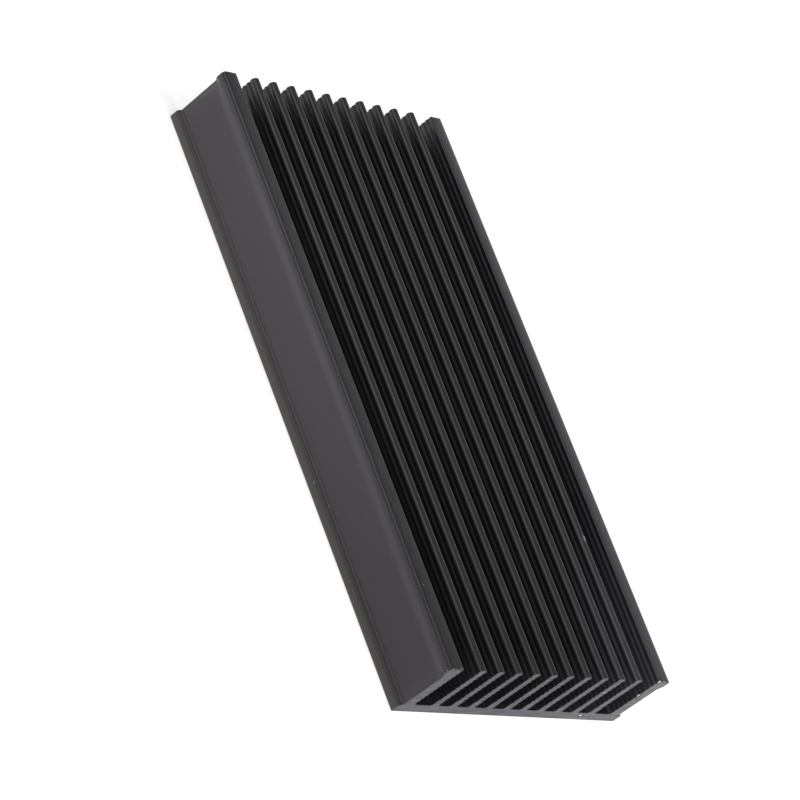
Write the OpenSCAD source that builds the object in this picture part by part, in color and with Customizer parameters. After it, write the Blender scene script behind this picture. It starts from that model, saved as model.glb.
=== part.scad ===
// Extruded aluminium heat sink with rippled fins between two recessed side walls.
// The section is drawn in X and Z and runs along Y, base down, centred over the origin.

/* [Overall] */
// Length of the sawn piece, along the fins
length = 150; // [40:1:300]
// Width over the feet of the side walls
width = 74; // [60:0.5:120]
// Height from the underside to the tops of walls and fins
height = 18.4; // [14:0.1:40]

/* [Base] */
// Thickness of the base plate
base_t = 3; // [2:0.1:5]
// Radius of the base's two outer bottom edges
bottom_edge_r = 0.15; // [0.1:0.05:0.5]

/* [Fins] */
// Number of fins between the side walls
fin_count = 10; // [2:1:12]
// Thickness of a fin over its ripples' crests
fin_t = 2.25; // [2:0.05:3]
// Clear gap between a side wall and the fin beside it
side_gap = 5.25; // [3:0.05:8]
// How much closer the fins stand at the middle than elsewhere
middle_squeeze = 0.3; // [0:0.05:0.6]
// Radius of the two edges along a fin's top
tip_r = 0.95; // [0.5:0.05:0.95]
// Radius where a fin or wall meets the base plate
root_r = 0.3; // [0.1:0.05:0.6]
// Plain band at the foot of a fin, under its ripples
root_band = 2.2; // [1:0.1:3]

/* [Ripples] */
// Height of one ripple on the faces of the slots
ripple_pitch = 1.36; // [1:0.02:2.6]
// Depth of a ripple from crest to trough
ripple_depth = 0.3; // [0.1:0.02:0.4]

/* [Side walls] */
// Thickness of a side wall behind its recess
wall_t = 3.45; // [2:0.05:5]
// Radius of a wall's inner top edge
top_edge_r = 0.35; // [0.1:0.05:0.45]
// Depth of the recess behind the foot's face
recess_d = 1.05; // [0.9:0.05:1.5]
// Upright height of the foot under the recess
foot_h = 2.3; // [1:0.1:3.5]
// Radius at both sides of the ledge on top of the foot
foot_r = 0.3; // [0.1:0.05:0.4]
// Slope of that ledge in degrees
foot_slope = 24; // [5:1:45]
// How far the lip stands out from the recess
lip_d = 0.8; // [0.3:0.05:0.9]
// Upright height of the lip above its sweep
lip_h = 2; // [1.5:0.1:4]
// Height over which the recess sweeps out to the lip
lip_sweep = 2; // [1.5:0.1:3]
// Radius of the lip's outer top edge
lip_r = 0.95; // [0.3:0.05:1.2]

/* [Hidden] */
half_w = width / 2;
recess_x = half_w - recess_d;
lip_x = recess_x + lip_d;
wall_x = recess_x - wall_t;
fin_span = 2 * (wall_x - side_gap) - fin_t;
fin_pitch = (fin_span + middle_squeeze) / (fin_count - 1);
// The ripples start under the rounded fin tips, at a crest on the fins and a trough on the walls
ripple_top = height - tip_r;
fin_ripples = floor((ripple_top - base_t - root_band) / ripple_pitch);
wall_ripples = floor((ripple_top - base_t - root_r) / ripple_pitch);
// Straight facets in one ripple
ripple_facets = 6;
// The ledge's straight run between its two radii, and the height where the recess starts
foot_run = recess_d - 2 * foot_r * (1 - sin(foot_slope));
recess_z = foot_h + 2 * foot_r * cos(foot_slope) + foot_run * tan(foot_slope);
lip_z = height - lip_h;
// The inner top edge lies half way between the ripples' crests and troughs
top_edge_x = wall_x + ripple_depth / 2;
// Largest gap between a round edge and the straight facets drawn for it
arc_gap = 0.005;

// Facets that keep an arc within the gap
function arc_steps(r, turn) = ceil(turn / (2 * acos(1 - arc_gap / r)));

// Points on an arc from one angle to another
function arc(x, z, r, from, to) =
    let (steps = arc_steps(r, abs(to - from)))
    [for (i = [0:steps]) let (a = from + (to - from) * i / steps) [x + r * cos(a), z + r * sin(a)]];

// Points on two equal arcs that rise from one upright face to another
function sweep(x0, z0, x1, z1) =
    let (rise = z1 - z0, turn = 2 * atan((x1 - x0) / rise), r = rise / (2 * sin(turn)))
    let (steps = arc_steps(abs(r), abs(turn)))
    concat(
        [for (i = [0:steps]) let (a = turn * i / steps) [x0 + r * (1 - cos(a)), z0 + r * sin(a)]],
        [for (i = [steps - 1:-1:0]) let (a = turn * i / steps) [x1 - r * (1 - cos(a)), z1 - r * sin(a)]]
    );

// Distance of a rippled face behind its crests, a number of ripples below the top
function trough(n) = ripple_depth * (1 - cos(360 * n)) / 2;

// A fin's rippled face upwards, and a wall's downwards half a ripple out of step with it
function fin_face(x) = [for (i = [fin_ripples * ripple_facets:-1:1])
    let (n = i / ripple_facets) [x - trough(n), ripple_top - n * ripple_pitch]];

function wall_face(x) = [for (i = [0:wall_ripples * ripple_facets])
    let (n = i / ripple_facets) [x + trough(n + 0.5), ripple_top - n * ripple_pitch]];

function mirrored(points) = [for (i = [len(points) - 1:-1:0]) [-points[i].x, points[i].y]];

// The wall on the +X side, from the underside up its outer face and down its rippled inner face
wall_points = concat(
    arc(half_w - bottom_edge_r, bottom_edge_r, bottom_edge_r, -90, 0),
    arc(half_w - foot_r, foot_h, foot_r, 0, 90 - foot_slope),
    arc(recess_x + foot_r, recess_z, foot_r, 270 - foot_slope, 180),
    sweep(recess_x, lip_z - lip_sweep, lip_x, lip_z),
    arc(lip_x - lip_r, height - lip_r, lip_r, 0, 90),
    arc(top_edge_x + top_edge_r, height - top_edge_r, top_edge_r, 90, 180),
    wall_face(wall_x),
    arc(wall_x - root_r, base_t + root_r, root_r, 0, -90)
);

// The +X half of a fin, from inside the base plate up its rippled face to its rounded tip
fin_points = concat(
    [[fin_t / 2 + root_r, base_t / 2]],
    arc(fin_t / 2 + root_r, base_t + root_r, root_r, 270, 180),
    fin_face(fin_t / 2),
    arc(fin_t / 2 - tip_r, height - tip_r, tip_r, 0, 90)
);

// Base plate and both walls
module channel_section() {
    polygon(concat(wall_points, mirrored(wall_points)));
}

module fin_section() {
    polygon(concat(fin_points, mirrored(fin_points)));
}

module section() {
    channel_section();
    for (i = [0:fin_count - 1]) {
        place = i - (fin_count - 1) / 2;
        translate([place * fin_pitch - sign(place) * middle_squeeze / 2, 0]) fin_section();
    }
}

module heat_sink() {
    color("#454447") rotate([90, 0, 0]) linear_extrude(height = length, center = true) section();
}

heat_sink();
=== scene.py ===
"""Looks for the extruded heat sink: black anodised finish, pale stage, soft lights and camera."""

import math

import bpy
from mathutils import Matrix, Vector

def rgba(red, green, blue):
    return (red, green, blue, 1.0)


MM = 0.001
# Sockets of a Mix node for each kind of value: both inputs, then the output
MIX_SOCKETS = {"FLOAT": (2, 3, 0), "VECTOR": (4, 5, 1), "RGBA": (6, 7, 2)}

# The part, in millimetres: the inner faces of its side walls, its tops and its sawn ends
WALL_X = 32.5
TOP_Z = 18.4
HALF_LENGTH = 75.0
NEAR_Y = -HALF_LENGTH

# Gap that the weld closes, in millimetres, and the angle above which an edge stays sharp
WELD_GAP = 0.002
SMOOTH_ANGLE = math.radians(40)

# Nicks and specks in the black layer: centre and radius in millimetres, and how bare the metal is
NICKS = [
    ((33.05, NEAR_Y, 18.1), 0.4, 1.0),
    ((34.5, NEAR_Y, 18.3), 0.2, 0.5),
    ((35.4, NEAR_Y, 18.2), 0.2, 0.4),
    ((32.75, NEAR_Y, 11.8), 0.48, 1.0),
    ((20.6, NEAR_Y, 12.0), 0.42, 0.5),
    ((23.5, NEAR_Y, 1.85), 0.42, 1.0),
    ((-36.0, NEAR_Y, 18.2), 0.22, 0.35),
    ((-36.7, NEAR_Y + 0.2, 17.2), 0.2, 0.35),
    ((-33.2, NEAR_Y + 0.2, 18.3), 0.2, 0.3),
    ((-35.5, -55.1, 18.35), 0.25, 0.14),
    ((-34.2, -3.9, 18.4), 0.25, 0.07),
    ((-32.8, 72.2, 18.4), 0.25, 0.14),
    ((-37.0, -21.1, 2.05), 0.3, 0.2),
    ((-36.15, -27.3, 2.9), 0.3, 0.07),
    ((26.6, -39.1, 18.35), 0.36, 0.8),
    ((26.68, -39.7, 18.32), 0.42, 0.8),
]
# Rims of the bare metal and of the dent around it, in radii of a nick
BARE_RIM = (0.8, 1.0)
DENT_RIM = (1.1, 2.5)
# How far the noise pushes those rims in and out, in millimetres
RAGGED_PUSH = 0.2

# Places between which a mask rises or falls, in millimetres. X, Y and Z are the part's own axes,
# ACROSS counts X from the middle to both sides, and ALONG counts Y to both ends.
HIGH_Z = (TOP_Z - 1.5, TOP_Z - 1.0)
WALL_ACROSS = (WALL_X - 0.6, WALL_X - 0.2)
FLANK_ACROSS = (WALL_X + 1.2, WALL_X + 2.0)
RIM_X = (WALL_X - 0.3, WALL_X + 2.6)
FOOT_Z = (0.3, 3.3)
LEDGE_START_Z = (2.6, 2.85)
LEDGE_STOP_Z = (3.0, 3.3)
RECESS_START_Z = (3.2, 4.2)
RECESS_STOP_Z = (15.5, 17.0)
LIP_Z = (13.5, 16.5)
TAIL_ALONG = (HALF_LENGTH - 6.0, HALF_LENGTH)
PURPLE_Y = (15.0, 60.0)
DEEP_Z = (12.0, 16.6)
MOUTH_ALONG = (HALF_LENGTH - 7.0, HALF_LENGTH - 1.5)
OUTER_SLOT = (26.0, 28.0)
NEAR_HALF_Y = (NEAR_Y - 15.0, 40.0)
DIM_SIDE_X = (-20.0, 28.0)
INNER_ACROSS = (14.0, 27.0)
CORNER_X = (4.0, 33.0)
CORNER_Y = (NEAR_Y, -25.0)
FIN_Z = (3.2, 4.2)
FIN_ACROSS = (28.0, 31.0)
RIGHT_CUT_X = (5.0, 32.0)
SWEEP_Z = (6.0, 12.0)
TOP_EDGE_Z = (16.2, 17.0)
SAWN_ALONG = (HALF_LENGTH - 0.8, HALF_LENGTH - 0.4)

# Parts of a normal along an axis between which a mask rises: on ends, on tops and on outer faces
END_TURN = (0.6, 0.9)
TOP_TURN = (0.96, 0.995)
OUTER_TURN = (0.3, 0.5)
# Likeness of the softened normal to the plain one at which a broken edge stops
EDGE_TURN = (0.9, 0.985)

# Radii within which edges are shaded softer than drawn, in millimetres: at the walls' foot, sweep
# and top, at the ripples deep in the slots, and at the broken edges of the sawn ends
FOOT_SOFTNESS = 0.9
SWEEP_SOFTNESS = 3.0
TOP_SOFTNESS = 1.1
SLOT_SOFTNESS = 0.8
CUT_SOFTNESS = 0.9
SOFT_SAMPLES = 8

# Noise patterns: squeeze along X, Y and Z, scale per millimetre, detail and roughness
CLOUD = ((1.0, 0.35, 1.0), 0.09, 3.0, 0.5)
DIE_LINES = ((1.0, 0.006, 1.0), 5.0, 3.0, 0.6)
GRAIN = ((1.0, 1.0, 1.0), 9.0, 2.0, 0.5)
BLOTCH = ((1.0, 0.3, 1.0), 0.9, 4.0, 0.65)
SAW_MARKS = ((0.12, 1.0, 1.0), 0.8, 4.0, 0.6)
RAGGED = ((1.0, 1.0, 1.0), 2.5, 3.0, 0.5)
# Noise values that are stretched to full contrast, and the value in the middle of a noise
CONTRAST = (0.3, 0.7)
NOISE_MIDDLE = (0.5, 0.5, 0.5)
# Middle of the saw blade whose arcs cross the ends, in millimetres, and the axes it turns in
BLADE_CENTRE = (30.0, 0.0, -170.0)
BLADE_PLANE = (1.0, 0.0, 1.0)

# Colours of the black layer, from the plain dye to painted light and shade, slots, sawn ends and bare
# metal
DYE = (rgba(0.0135, 0.013, 0.014), rgba(0.017, 0.016, 0.017))
PURPLE_DYE = rgba(0.0175, 0.0145, 0.018)
RUBBED_TOP = rgba(0.034, 0.034, 0.035)
# Painted reflection of the floor, lighter towards the outer edge of the right wall's top
PAINTED_RIM_REFLECTION = rgba(0.055, 0.054, 0.064)
# Brown tone of the foot, with a painted reflection of the floor that is lighter towards the bottom
FOOT_BROWN_AND_REFLECTION = rgba(0.06, 0.052, 0.049)
# Painted highlight along the root of the foot's ledge
PAINTED_LEDGE_HIGHLIGHT = rgba(0.036, 0.034, 0.034)
GREY_TAIL = rgba(0.028, 0.028, 0.031)
# Painted light in the slots near the sawn ends
PAINTED_MOUTH_LIGHT = rgba(0.0215, 0.0215, 0.023)
# Painted light in the slots near the near right corner and in the last slot, and on the fin tips at
# that corner
PAINTED_SLOT_LIGHT = rgba(0.053, 0.052, 0.06)
# Painted shade deep in the slots
PAINTED_SLOT_SHADE = rgba(0.012, 0.012, 0.013)
# Painted shade on the floors of the slots
PAINTED_SLOT_FLOOR_SHADE = rgba(0.009, 0.009, 0.01)
CUT = (rgba(0.026, 0.024, 0.035), rgba(0.096, 0.091, 0.111))
RIGHT_CUT = (rgba(0.044, 0.042, 0.053), rgba(0.12, 0.118, 0.134))
BROKEN_EDGE = rgba(0.012, 0.012, 0.013)
# Painted shade in the dents round the nicks
PAINTED_DENT_SHADE = rgba(0.01, 0.01, 0.011)
BARE_METAL = rgba(0.82, 0.82, 0.83)

# How much of a colour a mask brings in
RUB_PATCHES = (0.4, 1.0)
RUB_ON_DIM_SIDE = 0.6
SLOT_LIGHT = 0.12
LAST_SLOT_LIGHT = 0.2
CORNER_TIP_LIGHT = 0.4
DEEP_SHADE = 0.8
OPEN_SHADE = 0.2
BROKEN_COVER = 0.9
DENT_SHADE_COVER = 0.8
# How far the saw marks on the fins are evened out, and the tone that they go to
FIN_WEAR = 0.6
FIN_SAW_TONE = 0.28

# Colours of the sheen: on tops and in slots, on the outer faces, on the lip, the foot and the ends
TOP_SHEEN = rgba(0.985, 0.975, 1.0)
OUTER_SHEEN = (rgba(1.0, 0.89, 0.96), rgba(0.99, 0.94, 1.0))
LIP_SHEEN = rgba(0.98, 0.935, 1.0)
FOOT_SHEEN = rgba(1.0, 0.89, 0.87)
END_SHEEN = rgba(0.96, 0.94, 1.0)

# Strength of the sheen, and shares of it that are left in some places; on the near left side, in the
# slots and round the dents the lower shares are painted shade
GLOSS = 0.5
DIM_SIDE_GLOSS = 0.37
INNER_GLOSS = (0.9, 1.0)
SLOT_GLOSS = (0.55, 0.9)
NEAR_SLOT_GLOSS = 0.66
MOUTH_GLOSS = 0.8
DENT_SHADE_GLOSS = 0.25
BROKEN_GLOSS = 0.3
LAYER_IOR = 1.6

# Roughness over the die lines, over the saw marks and in the nicks
LINE_ROUGHNESS = (0.26, 0.32)
SAW_ROUGHNESS = (0.46, 0.38)
NICK_ROUGHNESS = 0.35

# Fine relief: strength, and depth in millimetres
GRAIN_RELIEF = (0.08, 0.02)
LINE_RELIEF = (0.25, 0.015)
SAW_RELIEF = (0.3, 0.03)
DENT_RELIEF = (1.0, 0.15)

# Floor: half its side and its drop under the part, in metres, its colour and its glow
FLOOR_HALF = 4.0
FLOOR_DROP = 0.2 * MM
FLOOR_COLOUR = rgba(0.5, 0.5, 0.5)
FLOOR_GLOW = 0.65
WORLD_COLOUR = rgba(0.24, 0.24, 0.24)

# Softboxes: direction from the part, width and height in metres, and radiance
SOFTBOXES = {
    "key": ((0.0, -0.5, 0.85), (0.6, 0.6), 8.0),
    "left": ((-0.6, 0.4, 0.69), (0.9, 0.8), 1.2),
    "right": ((0.88, 0.4, 0.14), (0.9, 0.4), 0.65),
    "fill": ((-0.6, -0.6, 0.53), (0.6, 0.6), 2.5),
}
SOFTBOX_DISTANCE = 1.2

# Camera: viewing direction, upward direction and place in millimetres, then lens and clipping
CAMERA_AHEAD = Vector((0.740962, 0.401951, -0.537969))
CAMERA_UP = Vector((-0.091185, 0.85389, 0.512404))
CAMERA_PLACE = Vector((-631.485, -340.404, 462.622))
SENSOR_WIDTH = 36.0
LENS = 172.208
CLIP_START = 0.05
CLIP_END = 50.0


class Graph:
    """Makes nodes in one tree and links them as they are made."""

    def __init__(self, tree):
        self.tree = tree
        tree.nodes.clear()

    def node(self, kind, inputs=None, **settings):
        made = self.tree.nodes.new(kind)
        for name, value in settings.items():
            setattr(made, name, value)
        for name, value in (inputs or {}).items():
            self.feed(made.inputs[name], value)
        return made

    def feed(self, socket, value):
        if isinstance(value, bpy.types.NodeSocket):
            self.tree.links.new(value, socket)
        else:
            socket.default_value = value

    def math(self, operation, *values):
        inputs = dict(enumerate(values))
        return self.node("ShaderNodeMath", inputs, operation=operation).outputs[0]

    def times(self, first, *others):
        """Product of all the values."""
        product = first
        for other in others:
            product = self.math("MULTIPLY", product, other)
        return product

    def most(self, first, *others):
        """Largest of the values."""
        largest = first
        for other in others:
            largest = self.math("MAXIMUM", largest, other)
        return largest

    def rest(self, value):
        """What a value leaves of one."""
        return self.math("SUBTRACT", 1.0, value)

    def size(self, value):
        """Value without its sign."""
        return self.math("ABSOLUTE", value)

    def vector(self, operation, *values):
        """Direction or place made from others."""
        inputs = dict(enumerate(values))
        return self.node("ShaderNodeVectorMath", inputs, operation=operation).outputs["Vector"]

    def measure(self, operation, *values):
        """Number measured on directions or places."""
        inputs = dict(enumerate(values))
        return self.node("ShaderNodeVectorMath", inputs, operation=operation).outputs["Value"]

    def ramp(self, value, span, levels=(0.0, 1.0)):
        """Value carried smoothly from a span to two levels, and held outside it."""
        names = ("Value", "From Min", "From Max", "To Min", "To Max")
        inputs = dict(zip(names, (value, *span, *levels)))
        made = self.node("ShaderNodeMapRange", inputs, interpolation_type="SMOOTHSTEP")
        return made.outputs["Result"]

    def fade(self, value, span):
        """One below a span and nothing above it."""
        return self.ramp(value, span, (1.0, 0.0))

    def noise(self, place, pattern, output="Fac"):
        squeeze, scale, detail, roughness = pattern
        squeezed = self.vector("MULTIPLY", place, squeeze)
        inputs = {"Vector": squeezed, "Scale": scale, "Detail": detail, "Roughness": roughness}
        return self.node("ShaderNodeTexNoise", inputs).outputs[output]

    def mix(self, kind, factor, a, b):
        a_socket, b_socket, output = MIX_SOCKETS[kind]
        inputs = {0: factor, a_socket: a, b_socket: b}
        return self.node("ShaderNodeMix", inputs, data_type=kind).outputs[output]

    def blend(self, factor, a, b):
        """Number that goes from a to b with the factor."""
        return self.mix("FLOAT", factor, a, b)

    def lean(self, factor, a, b):
        """Direction that goes from a to b with the factor."""
        return self.mix("VECTOR", factor, a, b)

    def tint(self, factor, a, b):
        """Colour that goes from a to b with the factor."""
        return self.mix("RGBA", factor, a, b)

    def bump(self, height, relief, normal):
        """Normal with a fine relief added to it."""
        strength, depth = relief
        inputs = {"Height": height, "Strength": strength, "Distance": depth * MM, "Normal": normal}
        return self.node("ShaderNodeBump", inputs).outputs["Normal"]


class Finish:
    """Nodes of the black anodised layer: masks and patterns first, then what the shader needs."""

    def __init__(self, g):
        self.g = g
        metres = g.node("ShaderNodeTexCoord").outputs["Object"]
        self.place = g.vector("DIVIDE", metres, (MM, MM, MM))
        axes = g.node("ShaderNodeSeparateXYZ", {0: self.place}).outputs
        self.x, self.y, self.z = axes["X"], axes["Y"], axes["Z"]
        self.across = g.size(self.x)
        self.along = g.size(self.y)
        self.surface = g.node("ShaderNodeNewGeometry").outputs["Normal"]
        self.facing = g.node("ShaderNodeSeparateXYZ", {0: self.surface}).outputs
        self.find_faces()
        self.find_slots()
        self.draw_patterns()
        self.strike_nicks()
        self.soften_edges()

    def find_faces(self):
        """Masks of the sawn ends, the tops and the walls' outer faces, with the right wall's rim, the
        foot and the ledge, where reflections are painted.
        """
        g = self.g
        self.end = g.ramp(g.size(self.facing["Y"]), END_TURN)
        self.up = g.ramp(self.facing["Z"], TOP_TURN)
        self.high = g.ramp(self.z, HIGH_Z)
        top = g.times(self.up, self.high)
        self.wall_top = g.times(top, g.ramp(self.across, WALL_ACROSS))
        # Painted reflection on the right wall's top, lighter outwards
        self.rim_reflection = g.times(top, g.ramp(self.x, RIM_X))
        self.flank = g.ramp(self.across, FLANK_ACROSS)
        # Foot: its brown tone and a painted reflection of the floor, strongest at the bottom
        self.foot = g.times(self.flank, g.fade(self.z, FOOT_Z))
        # Painted highlight along the ledge over the foot
        self.ledge_highlight = g.times(self.flank, g.ramp(self.z, LEDGE_START_Z), g.fade(self.z, LEDGE_STOP_Z))
        recess = g.times(self.flank, g.ramp(self.z, RECESS_START_Z), g.fade(self.z, RECESS_STOP_Z))
        self.tail = g.times(recess, g.ramp(self.along, TAIL_ALONG))
        self.purple = g.times(recess, g.fade(self.y, PURPLE_Y))

    def find_slots(self):
        """Masks of the slots between the fins, of the duller side and of the dusty corner."""
        g = self.g
        self.slot = g.rest(g.most(self.high, self.flank, self.end))
        # Floors of the slots, where shade is painted
        self.slot_floor = g.times(self.up, self.slot)
        self.deep = g.times(self.slot, g.fade(self.z, DEEP_Z))
        # Slots near the sawn ends, where light is painted in
        self.mouth = g.times(self.slot, g.ramp(self.along, MOUTH_ALONG))
        self.near = g.fade(self.y, NEAR_HALF_Y)
        # Near left side, where shade is painted on the sheen and less painted light and rubbing are
        # put
        self.dim_side = g.times(self.near, g.fade(self.x, DIM_SIDE_X))
        # """Masks of the slots between the fins, of the near left side where shade is painted on the
        # sheen, and of the near right corner where light is painted into the slots."""
        self.corner = g.times(g.ramp(self.x, CORNER_X), g.fade(self.y, CORNER_Y))
        # Painted light in the slots: none on the near left side, more in the last slot, most at the
        # near right corner, and some on the fin tops there
        painted_light = g.blend(self.dim_side, SLOT_LIGHT, 0.0)
        painted_light = g.most(painted_light, g.ramp(self.x, OUTER_SLOT, (0.0, LAST_SLOT_LIGHT)))
        painted_light = g.times(g.blend(self.corner, painted_light, 1.0), self.slot)
        self.slot_light = g.most(painted_light, g.times(self.corner, self.high, CORNER_TIP_LIGHT))

    def draw_patterns(self):
        """Cloudy dye, lines that the die draws, grain, rubbed patches and arcs of the saw blade."""
        g = self.g
        self.tone = g.ramp(g.noise(self.place, CLOUD), CONTRAST)
        self.lines = g.noise(self.place, DIE_LINES)
        self.grain = g.noise(self.place, GRAIN)
        self.blotch = g.noise(self.place, BLOTCH)
        from_blade = g.vector("SUBTRACT", self.place, BLADE_CENTRE)
        radius = g.measure("LENGTH", g.vector("MULTIPLY", from_blade, BLADE_PLANE))
        arcs = g.node("ShaderNodeCombineXYZ", {"X": self.x, "Z": radius}).outputs[0]
        self.saw = g.ramp(g.noise(arcs, SAW_MARKS), CONTRAST)

    def strike_nicks(self):
        """Bare metal in the nicks, and the dents around it with painted shade in them."""
        g = self.g
        push = g.vector("SUBTRACT", g.noise(self.place, RAGGED, "Color"), NOISE_MIDDLE)
        push = g.vector("MULTIPLY", push, (RAGGED_PUSH, RAGGED_PUSH, RAGGED_PUSH))
        spot = g.vector("ADD", self.place, push)
        bare = []
        self.dent = 1.0
        for centre, radius, bareness in NICKS:
            away = g.math("DIVIDE", g.measure("DISTANCE", spot, centre), radius)
            bare.append(g.ramp(away, BARE_RIM, (bareness, 0.0)))
            bowl = g.ramp(away, DENT_RIM, (1.0 - bareness, 1.0))
            self.dent = g.math("MINIMUM", self.dent, bowl)
        self.nick = g.most(*bare)
        # Painted shade in the dents round the nicks
        self.dent_shade = g.rest(self.dent)

    def soften_edges(self):
        """Normal softened over edges, and the broken edges that it shows on the sawn ends."""
        g = self.g
        radius = g.ramp(self.z, SWEEP_Z, (FOOT_SOFTNESS * MM, SWEEP_SOFTNESS * MM))
        radius = g.blend(g.ramp(self.z, TOP_EDGE_Z), radius, TOP_SOFTNESS * MM)
        radius = g.blend(self.deep, radius, SLOT_SOFTNESS * MM)
        radius = g.blend(self.end, radius, CUT_SOFTNESS * MM)
        bevel = g.node("ShaderNodeBevel", {"Radius": radius}, samples=SOFT_SAMPLES)
        self.soft = bevel.outputs["Normal"]
        likeness = g.measure("DOT_PRODUCT", self.soft, self.surface)
        self.broken = g.times(self.end, g.fade(likeness, EDGE_TURN))

    def cut(self):
        """Colour of the sawn ends, lighter to the right and with fainter marks on the fins."""
        g = self.g
        fin = g.times(g.ramp(self.z, FIN_Z), g.fade(self.across, FIN_ACROSS))
        marks = g.blend(g.times(fin, FIN_WEAR), self.saw, FIN_SAW_TONE)
        return g.tint(g.ramp(self.x, RIGHT_CUT_X), g.tint(marks, *CUT), g.tint(marks, *RIGHT_CUT))

    def colour(self):
        g = self.g
        rubbed = g.times(self.wall_top, g.ramp(self.blotch, CONTRAST, RUB_PATCHES))
        # Fewer rubbed patches on the near left side, where shade is painted
        rubbed = g.times(rubbed, g.blend(self.dim_side, 1.0, RUB_ON_DIM_SIDE))
        # Painted shade deep in the slots, less where they open at the near right corner and the last
        # slot, and at the mouths
        open_side = g.most(self.corner, g.ramp(self.across, OUTER_SLOT))
        shade = g.blend(self.mouth, g.blend(open_side, DEEP_SHADE, OPEN_SHADE), OPEN_SHADE)
        layers = [
            (self.purple, PURPLE_DYE),
            (rubbed, RUBBED_TOP),
            (self.rim_reflection, PAINTED_RIM_REFLECTION),
            (self.foot, FOOT_BROWN_AND_REFLECTION),
            (self.ledge_highlight, PAINTED_LEDGE_HIGHLIGHT),
            (self.tail, GREY_TAIL),
            (self.mouth, PAINTED_MOUTH_LIGHT),
            (self.slot_light, PAINTED_SLOT_LIGHT),
            (g.times(self.deep, shade), PAINTED_SLOT_SHADE),
            (self.slot_floor, PAINTED_SLOT_FLOOR_SHADE),
            (self.end, self.cut()),
            (g.times(self.broken, BROKEN_COVER), BROKEN_EDGE),
            (g.times(self.dent_shade, DENT_SHADE_COVER), PAINTED_DENT_SHADE),
            (self.nick, BARE_METAL),
        ]
        colour = g.tint(self.tone, *DYE)
        for mask, layer in layers:
            colour = g.tint(mask, colour, layer)
        return colour

    def sheen(self):
        """Faint casts of the dye in the sheen: cool on top, brown to purple on the outer faces."""
        g = self.g
        outer = g.times(self.flank, g.ramp(g.size(self.facing["X"]), OUTER_TURN))
        cast = g.tint(g.ramp(self.z, LIP_Z), g.tint(self.tone, *OUTER_SHEEN), LIP_SHEEN)
        sheen = g.tint(outer, TOP_SHEEN, cast)
        sheen = g.tint(self.foot, sheen, FOOT_SHEEN)
        return g.tint(self.end, sheen, END_SHEEN)

    def gloss(self):
        """Strength of the sheen, lower in the slots, round the dents and on broken edges; on the near
        left side, in the slots and round the dents the lowering is painted shade.
        """
        g = self.g
        gloss = g.blend(self.dim_side, GLOSS, DIM_SIDE_GLOSS)
        gloss = g.times(gloss, g.ramp(self.across, INNER_ACROSS, INNER_GLOSS))
        # Painted shade on the sheen in the slots: lower deep down and near the near end, less so at
        # the mouths
        hidden = g.times(g.ramp(self.z, DEEP_Z, SLOT_GLOSS), g.blend(self.near, 1.0, NEAR_SLOT_GLOSS))
        hidden = g.blend(self.mouth, hidden, MOUTH_GLOSS)
        gloss = g.times(gloss, g.blend(self.slot, 1.0, hidden))
        gloss = g.times(gloss, g.blend(self.dent_shade, 1.0, DENT_SHADE_GLOSS))
        return g.times(gloss, g.blend(self.broken, 1.0, BROKEN_GLOSS))

    def roughness(self):
        g = self.g
        roughness = g.ramp(self.lines, CONTRAST, LINE_ROUGHNESS)
        roughness = g.blend(self.end, roughness, g.blend(self.saw, *SAW_ROUGHNESS))
        return g.blend(self.nick, roughness, NICK_ROUGHNESS)

    def normal(self):
        """Softened edges away from the saw cuts, then grain, die lines, saw marks and dents."""
        g = self.g
        softened = g.times(g.most(self.flank, self.deep), g.fade(self.along, SAWN_ALONG))
        normal = g.lean(softened, self.surface, self.soft)
        normal = g.bump(self.grain, GRAIN_RELIEF, normal)
        normal = g.bump(g.times(self.lines, g.rest(self.end)), LINE_RELIEF, normal)
        normal = g.bump(g.times(self.saw, self.end), SAW_RELIEF, normal)
        return g.bump(self.dent, DENT_RELIEF, normal)


def anodised():
    """Matte black anodised aluminium with die lines, rubbed wall tops, sawn ends and bare nicks."""
    material = bpy.data.materials.new("black_anodised")
    material.use_nodes = True
    g = Graph(material.node_tree)
    finish = Finish(g)
    inputs = {
        "Base Color": finish.colour(),
        "Metallic": finish.nick,
        "Roughness": finish.roughness(),
        "IOR": LAYER_IOR,
        "Normal": finish.normal(),
        "Specular IOR Level": finish.gloss(),
        "Specular Tint": finish.sheen(),
    }
    shader = g.node("ShaderNodeBsdfPrincipled", inputs)
    g.node("ShaderNodeOutputMaterial", {"Surface": shader.outputs[0]})
    return material


def smooth_rounds():
    """Node tree that shades the rounded edges smooth and leaves the sharp ones."""
    tree = bpy.data.node_groups.new("smooth_rounds", "GeometryNodeTree")
    tree.interface.new_socket("Geometry", in_out="INPUT", socket_type="NodeSocketGeometry")
    tree.interface.new_socket("Geometry", in_out="OUTPUT", socket_type="NodeSocketGeometry")
    g = Graph(tree)
    start = g.node("NodeGroupInput").outputs[0]
    angle = g.node("GeometryNodeInputMeshEdgeAngle").outputs["Unsigned Angle"]
    angles = {"A": angle, "B": SMOOTH_ANGLE}
    sharp = g.node("FunctionNodeCompare", angles, operation="GREATER_THAN").outputs[0]
    faces = g.node("GeometryNodeSetShadeSmooth", {"Geometry": start}, domain="FACE").outputs[0]
    inputs = {"Geometry": faces, "Selection": sharp, "Shade Smooth": False}
    edges = g.node("GeometryNodeSetShadeSmooth", inputs, domain="EDGE").outputs[0]
    g.node("NodeGroupOutput", {0: edges})
    return tree


def dress(part):
    """Gives the part its finish, and shades its rounded edges smooth."""
    part.data.materials.clear()
    part.data.materials.append(anodised())
    weld = part.modifiers.new("weld", "WELD")
    weld.merge_threshold = WELD_GAP * MM
    rounds = part.modifiers.new("smooth_rounds", "NODES")
    rounds.node_group = smooth_rounds()


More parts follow.
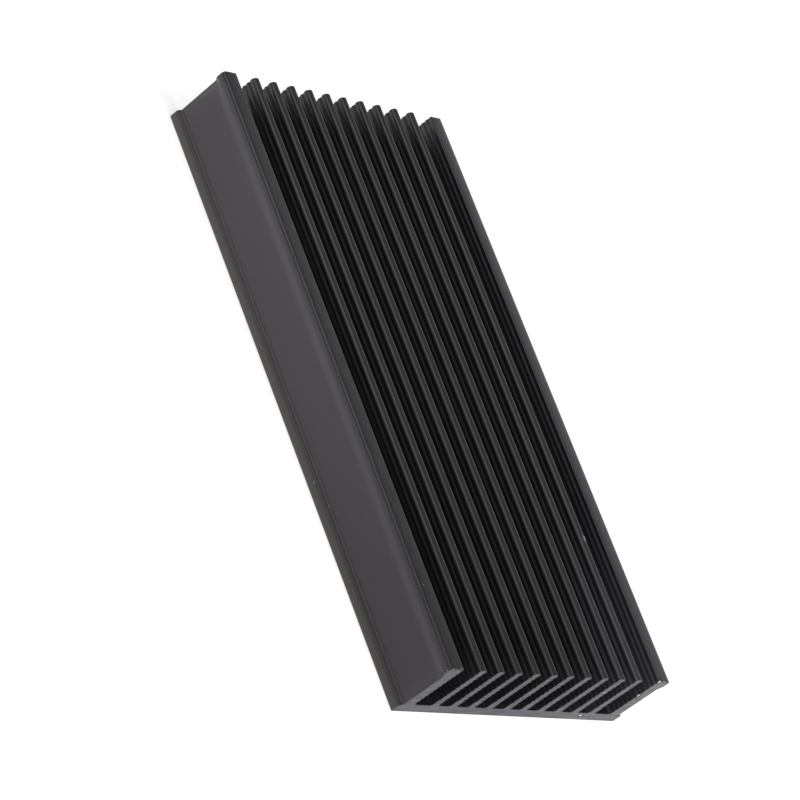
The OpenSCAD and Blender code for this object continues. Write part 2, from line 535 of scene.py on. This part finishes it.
def pale_floor():
    """Matte white floor: the camera and reflections see it as white, and it keeps the shadow."""
    material = bpy.data.materials.new("pale_floor")
    material.use_nodes = True
    g = Graph(material.node_tree)
    path = g.node("ShaderNodeLightPath").outputs
    seen = g.most(path["Is Camera Ray"], path["Is Glossy Ray"], path["Is Transmission Ray"])
    matte = g.node("ShaderNodeBsdfDiffuse", {"Color": FLOOR_COLOUR})
    glow = g.node("ShaderNodeEmission", {"Strength": g.times(seen, FLOOR_GLOW)})
    both = g.node("ShaderNodeAddShader", {0: matte.outputs[0], 1: glow.outputs[0]})
    g.node("ShaderNodeOutputMaterial", {"Surface": both.outputs[0]})
    return material


def make_floor():
    sides = [(-1, -1), (1, -1), (1, 1), (-1, 1)]
    corners = [(x * FLOOR_HALF, y * FLOOR_HALF, -FLOOR_DROP) for x, y in sides]
    mesh = bpy.data.meshes.new("floor")
    mesh.from_pydata(corners, [], [(0, 1, 2, 3)])
    mesh.materials.append(pale_floor())
    floor = bpy.data.objects.new("floor", mesh)
    bpy.context.scene.collection.objects.link(floor)


def make_world():
    world = bpy.data.worlds.new("studio")
    world.use_nodes = True
    g = Graph(world.node_tree)
    back = g.node("ShaderNodeBackground", {"Color": WORLD_COLOUR})
    g.node("ShaderNodeOutputWorld", {"Surface": back.outputs[0]})
    bpy.context.scene.world = world


def make_softbox(name, direction, size, radiance):
    """Flat lamp of a given radiance that faces the middle of the part."""
    data = bpy.data.lights.new(name, "AREA")
    data.shape = "RECTANGLE"
    data.size, data.size_y = size
    data.energy = radiance * math.pi * data.size * data.size_y
    lamp = bpy.data.objects.new(name, data)
    bpy.context.scene.collection.objects.link(lamp)
    away = Vector(direction).normalized()
    lamp.location = away * SOFTBOX_DISTANCE
    lamp.rotation_mode = "QUATERNION"
    lamp.rotation_quaternion = away.to_track_quat("Z", "Y")


def make_camera():
    """Camera at the photograph's viewing angle, turned about its own axis as the photograph is."""
    data = bpy.data.cameras.new("camera")
    data.sensor_fit = "HORIZONTAL"
    data.sensor_width = SENSOR_WIDTH
    data.lens = LENS
    data.clip_start = CLIP_START
    data.clip_end = CLIP_END
    camera = bpy.data.objects.new("camera", data)
    bpy.context.scene.collection.objects.link(camera)
    right = CAMERA_AHEAD.cross(CAMERA_UP)
    turn = Matrix((right, CAMERA_UP, -CAMERA_AHEAD)).transposed().to_4x4()
    camera.matrix_world = Matrix.Translation(CAMERA_PLACE * MM) @ turn
    bpy.context.scene.camera = camera


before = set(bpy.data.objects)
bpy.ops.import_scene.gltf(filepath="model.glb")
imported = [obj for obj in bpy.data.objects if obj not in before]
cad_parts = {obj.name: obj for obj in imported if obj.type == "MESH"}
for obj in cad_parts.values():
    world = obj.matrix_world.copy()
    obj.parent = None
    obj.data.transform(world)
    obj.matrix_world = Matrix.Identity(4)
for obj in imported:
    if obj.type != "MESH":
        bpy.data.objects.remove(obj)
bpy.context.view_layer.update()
bpy.context.scene.view_settings.view_transform = "Standard"

dress(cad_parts["heat_sink"])
make_floor()
make_world()
for box, (direction, size, radiance) in SOFTBOXES.items():
    make_softbox(box, direction, size, radiance)
make_camera()
